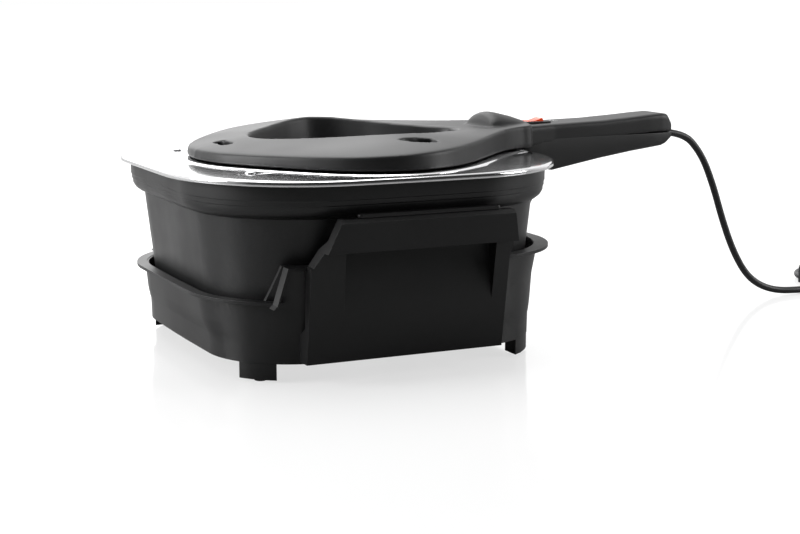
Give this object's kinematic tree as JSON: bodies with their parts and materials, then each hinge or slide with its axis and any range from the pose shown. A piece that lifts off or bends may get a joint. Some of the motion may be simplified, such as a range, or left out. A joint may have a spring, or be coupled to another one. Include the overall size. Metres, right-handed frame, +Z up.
{
  "type": "electric baking pot",
  "caption": "Square cast pot in a black stand, with a polished heated lid that lifts off by a long cover handle with a rocker switch and mains lead.",
  "frame": {"origin": "under the middle of the product, cord left out, on the surface that it stands on", "axes": "+X along the lid's handle, towards the cord, +Y to the rear grip, +Z up"},
  "size_m": [0.89, 0.342, 0.1884],
  "materials": {
    "stand_plastic": "matt black moulded plastic with a fine spark-eroded grain",
    "cover_plastic": "satin black moulded plastic",
    "pot_coating": "cast aluminium with a dark grey non-stick coating",
    "polished_steel": "mirror-polished stainless steel",
    "plain_steel": "bright steel sheet and wire",
    "window_glass": "clear toughened glass",
    "silicone": "black silicone",
    "rubber": "black rubber",
    "heater_steel": "heat-tinted steel sheath",
    "rocker_red": "translucent orange-red plastic",
    "contact_metal": "plated brass",
    "pin_metal": "nickel-plated brass",
    "cord_sheath": "black PVC sheath",
    "wire_brown": "brown insulation",
    "wire_blue": "blue insulation",
    "wire_green": "green and yellow insulation",
    "terminal_plastic": "off-white terminal plastic"
  },
  "bodies": {
    "stand": {"stand_shell": "stand_plastic", "foot_pads": "rubber", "front_grip_pad": "stand_plastic", "rear_grip_pad": "stand_plastic"},
    "pot": {"pot_body": "pot_coating"},
    "lid": {"lid_shell": "polished_steel", "window_glass": "window_glass", "window_gasket": "silicone", "window_sleeve": "plain_steel", "reflector_pan": "plain_steel", "heater_tube": "heater_steel", "heater_clips": "plain_steel", "heater_terminals": "contact_metal", "thermal_cutout": "plain_steel", "lid_screws": "plain_steel", "cover_screws": "plain_steel", "lid_cover": "cover_plastic", "handle_base": "cover_plastic", "handle_screws": "plain_steel", "handle_hood": "cover_plastic", "switch_frame": "cover_plastic", "switch_body": "cover_plastic", "switch_tabs": "contact_metal", "terminal_block": "terminal_plastic", "live_lead": "wire_brown", "neutral_lead": "wire_blue", "earth_lead": "wire_green", "inner_cord": "cord_sheath", "cord_clamp": "cover_plastic", "cord_strain_relief": "cord_sheath", "power_cord": "cord_sheath", "cord_coil": "cord_sheath", "coil_tie": "cover_plastic", "cord_tail": "cord_sheath", "plug_body": "cord_sheath", "plug_pins": "pin_metal", "plug_earth_clips": "pin_metal", "lid_hook": "plain_steel"},
    "rocker": {"switch_rocker": "rocker_red"}
  },
  "joints": [
    {"name": "pot_lift", "type": "slide", "parent": "stand", "child": "pot", "axis": [0, 0, 1], "range_m": [0, 0.14]},
    {"name": "lid_lift", "type": "slide", "parent": "pot", "child": "lid", "axis": [0, 0, 1], "range_m": [0, 0.1]},
    {"name": "rocker_tilt", "type": "hinge", "parent": "lid", "child": "rocker", "pos_m": [0.108, 0, 0.1775], "axis": [0, 1, 0], "range_deg": [0, 20]}
  ]
}
